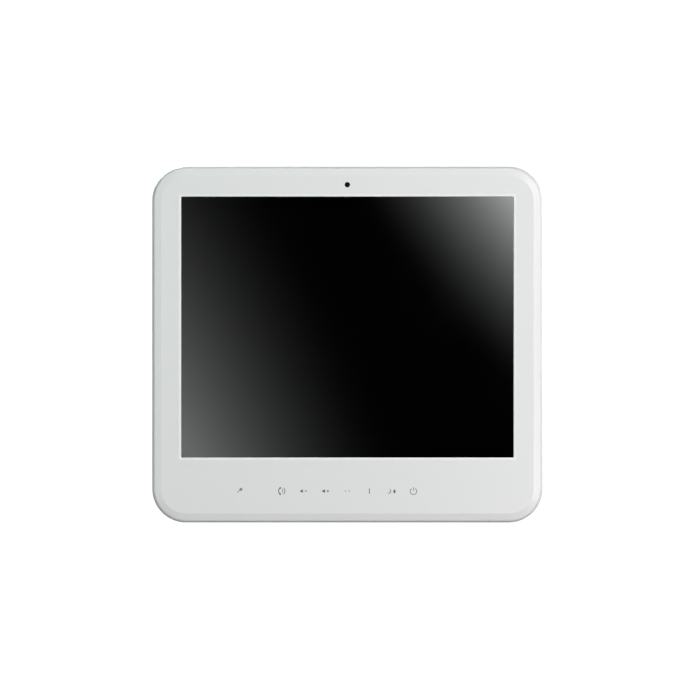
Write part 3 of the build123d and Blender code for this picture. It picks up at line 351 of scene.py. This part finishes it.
def label_film():
    """Silver-grey label stock with a fine satin brushing."""
    s = Surface("label_film", 0.38, metallic=0.35)
    lines = s.noise(1500.0, 2.0, stretch=(0.05, 1.0, 1.0))
    s.colour(s.ramp(lines, [(0.3, (0.62, 0.63, 0.64)), (0.7, (0.72, 0.73, 0.74))]))
    s.roughness(s.span(lines, 0.32, 0.46))
    return s.material


def print_ink(name, colour):
    """Screen-printed ink: matt, with the slight unevenness of the mesh it came through."""
    return moulded(name, colour, 0.6, 5200.0, 0.08, 0.12)


materials = {
    # The bezel's material carries the painted highlight round the window
    "bezel": casing_plastic("white_bezel", painted_rim_highlight=True),
    "cover": casing_plastic("white_cover"),
    "glass": display_glass(),
    "zinc": zinc_sheet(),
    "bright": brushed("bright_steel", (0.66, 0.66, 0.66), 0.28),
    "screw": plated("plated_screw", (0.63, 0.63, 0.65)),
    "brass": plated("turned_brass", (0.78, 0.57, 0.25), 0.26),
    "board": circuit_board(),
    "sink": brushed("black_anodised", (0.035, 0.035, 0.038), 0.4, (1.0, 1.0, 0.03), 0.2),
    "can": brushed("drawn_can", (0.72, 0.72, 0.74), 0.24, (1.0, 0.03, 1.0)),
    "camera_window": tinted_glass("camera_tint", (0.003, 0.003, 0.004)),
    "lens": tinted_glass("coated_lens", (0.012, 0.016, 0.05), 0.03, 1.0),
    "flat_cable": flat_cable_plastic(),
    "label": label_film(),
    "ink": print_ink("sign_ink", (0.045, 0.047, 0.05)),
    "faint_ink": print_ink("faint_ink", (0.30, 0.31, 0.31)),
    "label_ink": print_ink("label_ink", (0.12, 0.12, 0.125)),
    "solder": plated("solder", (0.62, 0.62, 0.64), 0.3),
    **board_plastics(),
}

NODE_MATERIALS = {
    "bezel": ["front_bezel"],
    "cover": ["rear_cover"],
    "glass": ["cover_glass", "lcd_cell"],
    "zinc": ["wall_bracket", "chassis_plate"],
    "bright": ["lcd_front_frame", "lcd_rear_tray", "coin_cell"],
    "screw": [
        "cover_screws",
        "chassis_screws",
        "board_screws",
        "key_board_screws",
        "camera_screws",
        "speaker_screws",
        "clamp_screws",
    ],
    "brass": ["board_standoffs", "terminal_pins"],
    "board": ["main_board", "key_board", "camera_board", "lcd_driver_board", "lcd_light_bar"],
    "sink": ["heat_sink"],
    "can": ["capacitors", "microphone"],
    "camera_window": ["camera_window"],
    "lens": ["camera_lens"],
    "flat_cable": ["camera_cable", "lcd_cable", "key_cable"],
    "label": ["blank_label"],
    "black_plastic": [
        "processor",
        "memory_chips",
        "signal_chips",
        "coin_cell_holder",
        "reset_housing",
        "camera_barrel",
        "speaker_basket",
    ],
    "foam": ["glass_tape", "display_gasket", "speaker_gasket"],
    "rubber": ["rear_pads", "microphone_boot"],
    "conductive_foam": ["key_pads"],
    "diffuser_film": ["lcd_films"],
    "clear_acrylic": ["lcd_light_guide"],
    "ferrite": ["power_inductors", "speaker_magnet"],
    "green_plastic": ["terminal_header", "terminal_plug"],
    "blue_plastic": ["dip_housing"],
    "white_slider": ["dip_slider_1", "dip_slider_2", "dip_slider_3", "dip_slider_4"],
    "red_button": ["reset_button"],
    "cone_paper": ["speaker_cone"],
    "ivory_plastic": ["cable_sockets"],
    "wire_red": ["speaker_wires"],
}


def dress_nodes():
    """Gives every CAD node its material."""
    for key, names in NODE_MATERIALS.items():
        for name in names:
            slots = nodes[name].data.materials
            slots.clear()
            slots.append(materials[key])


# ---------------------------------------------------------------- printed signs
face_low, face_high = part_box("front_bezel")
face_y = face_low.y
ink_height = 0.035 * MM      # print standing proud of the face
ink_sunk = 0.02 * MM         # print's underside below the face


def flatten_to_print(mesh, y, outward):
    """Presses a mesh, made round the plane y = 0, into a thin print on the plane at y."""
    depths = [v.co.y for v in mesh.vertices]
    low, high = min(depths), max(depths)
    front, back = y + outward * ink_height, y - outward * ink_sunk
    for v in mesh.vertices:
        share = (v.co.y - low) / (high - low)
        v.co.y = min(front, back) + share * abs(front - back)


def line_mesh(points, width, closed=False):
    """A round-ended line through (x, z) points, as a mesh about the plane y = 0."""
    curve = bpy.data.curves.new("line", "CURVE")
    curve.dimensions = "3D"
    curve.bevel_depth = width / 2
    curve.bevel_resolution = 3
    curve.use_fill_caps = True
    spline = curve.splines.new("POLY")
    spline.points.add(len(points) - 1)
    for point, (x, z) in zip(spline.points, points):
        point.co = (x, 0.0, z, 1.0)
    spline.use_cyclic_u = closed
    carrier = bpy.data.objects.new("line", curve)
    mesh = bpy.data.meshes.new_from_object(carrier)
    bpy.data.objects.remove(carrier)
    bpy.data.curves.remove(curve)
    return mesh


def shape_mesh(outline):
    """A filled (x, z) outline, one unit thick about the plane y = 0 until it is pressed flat."""
    bm = bmesh.new()
    front = bm.faces.new([bm.verts.new((x, -ink_height, z)) for x, z in outline])
    bmesh.ops.recalc_face_normals(bm, faces=[front])
    grown = bmesh.ops.extrude_face_region(bm, geom=[front])
    moved = [v for v in grown["geom"] if isinstance(v, bmesh.types.BMVert)]
    bmesh.ops.translate(bm, verts=moved, vec=(0, 2 * ink_height, 0))
    bmesh.ops.recalc_face_normals(bm, faces=bm.faces)
    mesh = bpy.data.meshes.new("shape")
    bm.to_mesh(mesh)
    bm.free()
    return mesh


def arc(centre, radius, start, end, steps=24):
    """Points on an arc, in degrees from +x turning towards +z."""
    turn = [math.radians(start + (end - start) * n / steps) for n in range(steps + 1)]
    return [(centre[0] + radius * math.cos(a), centre[1] + radius * math.sin(a)) for a in turn]


def disc(centre, radius):
    """A full circle of points, whose last one stops a step short of the first."""
    points = 32
    return arc(centre, radius, 0, 360 * (points - 1) / points, points - 1)


def print_piece(name, meshes, centre, y, material, outward=-1):
    """Joins flat meshes into one printed piece, centred at an (x, z) place on the plane at y. It
    stands proud towards the user, or towards the wall if outward is 1."""
    bm = bmesh.new()
    for mesh in meshes:
        flatten_to_print(mesh, y, outward)
        bm.from_mesh(mesh)
        bpy.data.meshes.remove(mesh)
    bmesh.ops.translate(bm, verts=bm.verts, vec=(centre[0], 0, centre[1]))
    joined = bpy.data.meshes.new(name)
    bm.to_mesh(joined)
    bm.free()
    piece = bpy.data.objects.new(name, joined)
    bpy.context.collection.objects.link(piece)
    joined.materials.append(material)
    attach(piece, "monitor")


fine = 0.42 * MM             # thin line of a sign
bold = 0.62 * MM             # thick line of a sign


def in_mm(points):
    """(x, z) points given in millimetres, in metres."""
    return [(x * MM, z * MM) for x, z in points]


def speaker_shape():
    """A solid loudspeaker sign: a small box with a horn, pointing right."""
    horn = [(-0.5, -0.5), (0.55, -1.25), (0.55, 1.25), (-0.5, 0.5)]
    return shape_mesh(in_mm([(-1.2, -0.5), *horn, (-1.2, 0.5)]))


def shifted(mesh, x):
    for v in mesh.vertices:
        v.co.x += x
    return mesh


def sign_talk():
    """A handset standing upright with two sound arcs."""
    grip = line_mesh(arc((0.9 * MM, 0.0), 2.7 * MM, 125, 235), bold)
    ends = [shape_mesh(disc((-0.75 * MM, z * MM), 0.62 * MM)) for z in (-2.1, 2.1)]
    waves = [line_mesh(arc((-0.4 * MM, 0.0), r * MM, -48, 48), fine) for r in (1.5, 2.9)]
    return [grip, *ends, *waves]


def sign_volume(plus):
    """A loudspeaker with a minus, or with a plus."""
    parts = [shifted(speaker_shape(), -0.85 * MM)]
    bar = 0.62 * MM
    middle = 1.75 * MM
    parts.append(line_mesh([(middle - bar, 0.0), (middle + bar, 0.0)], bold))
    if plus:
        parts.append(line_mesh([(middle, -bar), (middle, bar)], bold))
    return parts


def sign_choose():
    """Two small arrowheads, pointing left and right."""
    tip, back, rise = 2.0 * MM, 0.95 * MM, 0.6 * MM
    return [
        shape_mesh([(side * tip, 0.0), (side * back, rise), (side * back, -rise)])
        for side in (-1, 1)
    ]


def sign_updown():
    """An upright bar with a small arrowhead at each end."""
    reach, head, half_head = 1.45 * MM, 0.6 * MM, 0.35 * MM
    parts = [line_mesh([(0.0, -reach), (0.0, reach)], fine)]
    for end in (-1, 1):
        tip, base = end * (reach + half_head), end * (reach - half_head)
        parts.append(shape_mesh([(0.0, tip), (-head, base), (head, base)]))
    return parts


def sign_quiet():
    """A crescent moon and a bell."""
    outer = arc((-2.2 * MM, 0.0), 1.9 * MM, -100, 60)
    inner = arc((-2.75 * MM, 0.2 * MM), 1.95 * MM, 52, -88)
    moon = shape_mesh(outer + inner)
    mouth = [(1.0, -0.9), (3.2, -0.9)]
    crown = [(2.75, -0.3), (2.65, 0.5), (2.1, 1.05), (1.55, 0.5), (1.45, -0.3)]
    clapper = shape_mesh(disc((2.1 * MM, -1.25 * MM), 0.32 * MM))
    return [moon, shape_mesh(in_mm(mouth + crown)), clapper]


def sign_power():
    """A ring open at the top with an upright stroke in the gap."""
    ring = line_mesh(arc((0.0, -0.15 * MM), 2.2 * MM, 122, 418, 40), fine)
    stroke = line_mesh([(0.0, 0.35 * MM), (0.0, 2.45 * MM)], fine)
    return [ring, stroke]


def sign_microphone():
    """The handle of a small tilted microphone, whose head is the ring round the sound hole."""
    handle = line_mesh(in_mm([(-0.85, -0.8), (-2.5, -2.2)]), fine)
    head = line_mesh(disc((0.0, 0.0), 0.82 * MM), 0.36 * MM, closed=True)
    return [handle, head]


def add_signs():
    """Prints the microphone sign and the seven key signs on the face."""
    low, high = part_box("key_pads")
    radius = (high.z - low.z) / 2
    row_z = (low.z + high.z) / 2
    first, last = low.x + radius, high.x - radius
    signs = [
        ("sign_talk", sign_talk(), "ink"),
        ("sign_volume_down", sign_volume(False), "ink"),
        ("sign_volume_up", sign_volume(True), "ink"),
        ("sign_choose", sign_choose(), "faint_ink"),
        ("sign_up_down", sign_updown(), "ink"),
        ("sign_quiet", sign_quiet(), "ink"),
        ("sign_power", sign_power(), "ink"),
    ]
    pitch = (last - first) / (len(signs) - 1)
    for n, (name, meshes, ink) in enumerate(signs):
        print_piece(name, meshes, (first + n * pitch, row_z), face_y, materials[ink])
    low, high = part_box("microphone")
    centre = ((low.x + high.x) / 2, (low.z + high.z) / 2)
    print_piece("sign_microphone", sign_microphone(), centre, face_y, materials["ink"])


# ---------------------------------------------------------------- label printing
def add_label_print():
    """A thin frame, ruled into four rows and two columns of blank fields, with no lettering."""
    low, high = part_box("blank_label")
    centre = ((low.x + high.x) / 2, (low.z + high.z) / 2)
    margin, frame_line, rule = 2.5 * MM, 0.3 * MM, 0.2 * MM
    divider = -0.3               # of the half width, from the label's middle
    half_width, half_height = (high.x - low.x) / 2 - margin, (high.z - low.z) / 2 - margin
    corners = [(i * half_width, j * half_height) for i, j in ((-1, -1), (1, -1), (1, 1), (-1, 1))]
    meshes = [line_mesh(corners, frame_line, closed=True)]
    rows = 4
    for row in range(1, rows):
        z = half_height * (1 - 2 * row / rows)
        meshes.append(line_mesh([(-half_width, z), (half_width, z)], rule))
    x = divider * half_width
    meshes.append(line_mesh([(x, -half_height), (x, half_height)], rule))
    print_piece("label_print", meshes, centre, high.y, materials["label_ink"], outward=1)


# ---------------------------------------------------------------- small board parts
def block(bm, low, high, edge):
    """Adds a box with bevelled edges to a bmesh."""
    grown = bmesh.ops.create_cube(bm, size=1.0)
    verts = grown["verts"]
    for v in verts:
        v.co = [(a + b) / 2 + c * (b - a) for a, b, c in zip(low, high, v.co)]
    edges = {e for v in verts for e in v.link_edges}
    bmesh.ops.bevel(bm, geom=list(edges), offset=edge, segments=2, affect="EDGES", profile=0.5)


def mesh_piece(name, bm, material):
    mesh = bpy.data.meshes.new(name)
    bm.to_mesh(mesh)
    bm.free()
    mesh.materials.append(material)
    piece = bpy.data.objects.new(name, mesh)
    bpy.context.collection.objects.link(piece)
    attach(piece, "monitor")


def add_chip_parts():
    """Chip resistors and capacitors on the board between the switches, seen through the bay."""
    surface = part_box("main_board")[1].y
    switch_low, switch_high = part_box("dip_housing")
    button_low, button_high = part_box("reset_housing")
    length, width, height, cap = 1.6 * MM, 0.8 * MM, 0.55 * MM, 0.3 * MM
    pitch, body_edge, cap_edge = 2.9 * MM, 0.05 * MM, 0.06 * MM
    columns = [                  # middle in x, and how many one above the other
        (switch_low.x - 2.6 * MM, 4),
        ((switch_high.x + button_low.x) / 2, 5),
        (button_high.x + 2.2 * MM, 3),
    ]
    bodies, ends = bmesh.new(), bmesh.new()
    for x, count in columns:
        left, right = x - length / 2, x + length / 2
        for n in range(count):
            z = (n - (count - 1) / 2) * pitch
            for bm, start, end, edge in (
                (bodies, left + cap, right - cap, body_edge),
                (ends, left, left + cap, cap_edge),
                (ends, right - cap, right, cap_edge),
            ):
                low = (start, surface, z - width / 2)
                block(bm, low, (end, surface + height, z + width / 2), edge)
    mesh_piece("chip_bodies", bodies, materials["black_plastic"])
    mesh_piece("chip_ends", ends, materials["solder"])


# ---------------------------------------------------------------- studio
camera_distance = 2.5        # from the front face's rim, which sets the picture's scale
body_share = 0.5652          # of the picture's width that the body takes up
rim_depth = 4.0 * MM         # of the widest outline behind the front face
aim = (-0.0034, -0.0006)     # camera's x and z, in widths of the picture
sensor_width = 36.0
centre = (0.0, 0.0, 0.0)
white = (1.0, 1.0, 1.0)
warm = (1.0, 0.985, 0.985)
key_place, key_size = (1.0, -1.15, 0.46), (0.9, 0.7)

# name, place, what it points at, width and height, watts, colour, seen in glossy surfaces
softboxes = (
    ("key", key_place, centre, key_size, 6.5, warm, True),
    ("soft_key", key_place, centre, key_size, 11.7, warm, False),
    ("fill", (-0.95, -1.35, 0.1), centre, (0.24, 1.5), 3.2, (1.0, 0.99, 0.98), True),
    ("left_rim", (-1.6, -0.4, 0.0), centre, (0.5, 1.2), 2.6, white, True),
    ("top", (0.1, -1.35, 1.0), centre, (1.6, 0.8), 1.0, white, True),
    ("under", (0.8, -1.5, -0.28), centre, (1.2, 0.4), 6.4, warm, True),
    ("cool", (-0.55, -0.75, 0.3), (-0.12, 0.0, 0.03), (0.3, 0.3), 0.38, (0.0, 1.0, 0.75), False),
    ("rear", (-0.8, 1.9, 1.1), centre, (1.2, 0.9), 40.0, white, True),
    ("rear_side", (1.6, 1.2, 0.3), centre, (0.8, 0.8), 12.0, white, True),
)

floor_half, floor_z, floor_glow = 6.0, -0.9, 0.75

# The two glows that the display glass mirrors. Each is the cube of a plane tilted and twisted over
# the glass: its height at the middle, per metre of x, per metre of z, and per square metre of x * z.
# The numbers are fitted to how bright the photo's display is.
glow_shapes = ((-0.335, 4.84, 3.47, 12.7), (0.07, -3.0, -1.32, 4.2))
glow_power = 3.0
glow_colour = (0.97, 1.0, 0.985, 1.0)
glass_reflectance = 0.04     # straight on
card_gap = 30.0 * MM         # from the camera back to the card
card_margin = 4.0 * MM       # past the glass's edges, as the glass mirrors the card

# The world's light on the object, at the horizon, and what it gains upwards and to the right
world_level, world_rise, world_drift = 0.137, 0.06, 0.10
world_colour = (0.995, 1.0, 1.0, 1.0)
backdrop_level = 1.05        # what the camera sees


def look_at(obj, target):
    obj.rotation_euler = (Vector(target) - obj.location).to_track_quat("-Z", "Y").to_euler()


def add_camera():
    """A long lens, straight on, with the body a hair above and right of the picture's middle."""
    data = bpy.data.cameras.new("camera")
    camera = bpy.data.objects.new("camera", data)
    bpy.context.collection.objects.link(camera)
    picture_width = (face_high.x - face_low.x) / body_share
    rim_y = face_low.y + rim_depth
    camera.location = (aim[0] * picture_width, rim_y - camera_distance, aim[1] * picture_width)
    look_at(camera, (camera.location.x, 0.0, camera.location.z))
    data.sensor_width = sensor_width
    data.lens = sensor_width * camera_distance / picture_width
    bpy.context.scene.camera = camera
    return camera


def add_softbox(name, place, target, size, power, colour, glossy):
    data = bpy.data.lights.new(name, "AREA")
    data.shape = "RECTANGLE"
    data.size, data.size_y = size
    data.energy = power
    data.color = colour
    light = bpy.data.objects.new(name, data)
    bpy.context.collection.objects.link(light)
    light.location = place
    look_at(light, target)
    light.visible_camera = False
    light.visible_glossy = glossy


def add_plane(name, corners):
    mesh = bpy.data.meshes.new(name)
    mesh.from_pydata(corners, [], [(0, 1, 2, 3)])
    plane = bpy.data.objects.new(name, mesh)
    bpy.context.collection.objects.link(plane)
    return plane


def add_floor():
    """A plain pale floor, well below the monitor, that is seen from above only."""
    ends = ((-1, -1), (1, -1), (1, 1), (-1, 1))
    floor = add_plane("floor", [(i * floor_half, j * floor_half, floor_z) for i, j in ends])
    s = Surface("pale_floor", 0.7)
    tone = s.ramp(s.noise(3.0, 4.0), [(0.3, (0.80, 0.80, 0.80)), (0.7, (0.84, 0.84, 0.84))])
    s.colour(tone)
    s.link(tone, s.shader.inputs["Emission Color"])
    s.shader.inputs["Emission Strength"].default_value = floor_glow
    floor.data.materials.append(s.material)
    floor.visible_diffuse = False
    floor.visible_glossy = False


def add_reflector(camera):
    """A card behind the camera whose two soft glows are what the display glass mirrors: one falls
    off from the upper right, the other from the lower left. It is placed and shaded for this
    camera, and stays where it is in other views."""
    low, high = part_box("cover_glass")
    eye = camera.location
    card_y = eye.y - card_gap
    # A point of the card shows in the glass where the line from it to the camera's mirror image
    # crosses the glass, which is nearer the camera's axis by this factor
    spread = 1 + (low.y - card_y) / (low.y - eye.y)
    left, right = low.x - card_margin, high.x + card_margin
    bottom, top = low.z - card_margin, high.z + card_margin
    corners = [
        (eye.x + (x - eye.x) * spread, card_y, eye.z + (z - eye.z) * spread)
        for x, z in ((left, bottom), (right, bottom), (right, top), (left, top))
    ]
    card = add_plane("reflector", corners)
    card.visible_camera = False
    card.visible_diffuse = False
    card.visible_shadow = False

    material = bpy.data.materials.new("reflector_glow")
    material.use_nodes = True
    s = NodeTree(material.node_tree)
    grow = spread - 1
    glass_x = s.maths("DIVIDE", s.maths("ADD", s.axis("X"), eye.x * grow), spread)
    glass_z = s.maths("DIVIDE", s.maths("ADD", s.axis("Z"), eye.z * grow), spread)
    both = s.maths("MULTIPLY", glass_x, glass_z)
    glows = []
    for constant, per_x, per_z, per_both in glow_shapes:
        level = s.total(
            s.maths("MULTIPLY", glass_x, per_x),
            s.maths("MULTIPLY", glass_z, per_z),
            s.maths("MULTIPLY", both, per_both),
            constant,
        )
        glows.append(s.maths("POWER", s.maths("MAXIMUM", level, 0.0), glow_power))
    emission = s.add("ShaderNodeEmission")
    emission.inputs["Color"].default_value = glow_colour
    s.link(s.maths("DIVIDE", s.total(*glows), glass_reflectance), emission.inputs["Strength"])
    output = next(n for n in s.tree.nodes if n.type == "OUTPUT_MATERIAL")
    s.link(emission.outputs["Emission"], output.inputs["Surface"])
    card.data.materials.append(material)


def add_world():
    """White to the camera. What lights the object is dimmer, and falls off downwards and leftwards."""
    world = bpy.data.worlds.new("studio")
    bpy.context.scene.world = world
    world.use_nodes = True
    s = NodeTree(world.node_tree, "Generated")
    level = s.total(
        s.maths("MULTIPLY", s.axis("Z"), world_rise),
        world_level,
        s.maths("MULTIPLY", s.axis("X"), world_drift),
    )
    background = s.tree.nodes["Background"]
    background.inputs["Color"].default_value = world_colour
    s.link(level, background.inputs["Strength"])
    backdrop = s.add("ShaderNodeBackground")
    backdrop.inputs["Color"].default_value = (*white, 1.0)
    backdrop.inputs["Strength"].default_value = backdrop_level
    seen = s.add("ShaderNodeLightPath")
    mix = s.add("ShaderNodeMixShader")
    s.link(seen.outputs["Is Camera Ray"], mix.inputs["Fac"])
    s.link(background.outputs["Background"], mix.inputs[1])
    s.link(backdrop.outputs["Background"], mix.inputs[2])
    s.link(mix.outputs["Shader"], s.tree.nodes["World Output"].inputs["Surface"])


def add_studio():
    camera = add_camera()
    add_world()
    add_floor()
    add_reflector(camera)
    for softbox in softboxes:
        add_softbox(*softbox)
    bpy.context.scene.view_settings.view_transform = "Standard"


add_studio()
dress_nodes()
add_signs()
add_label_print()
add_chip_parts()
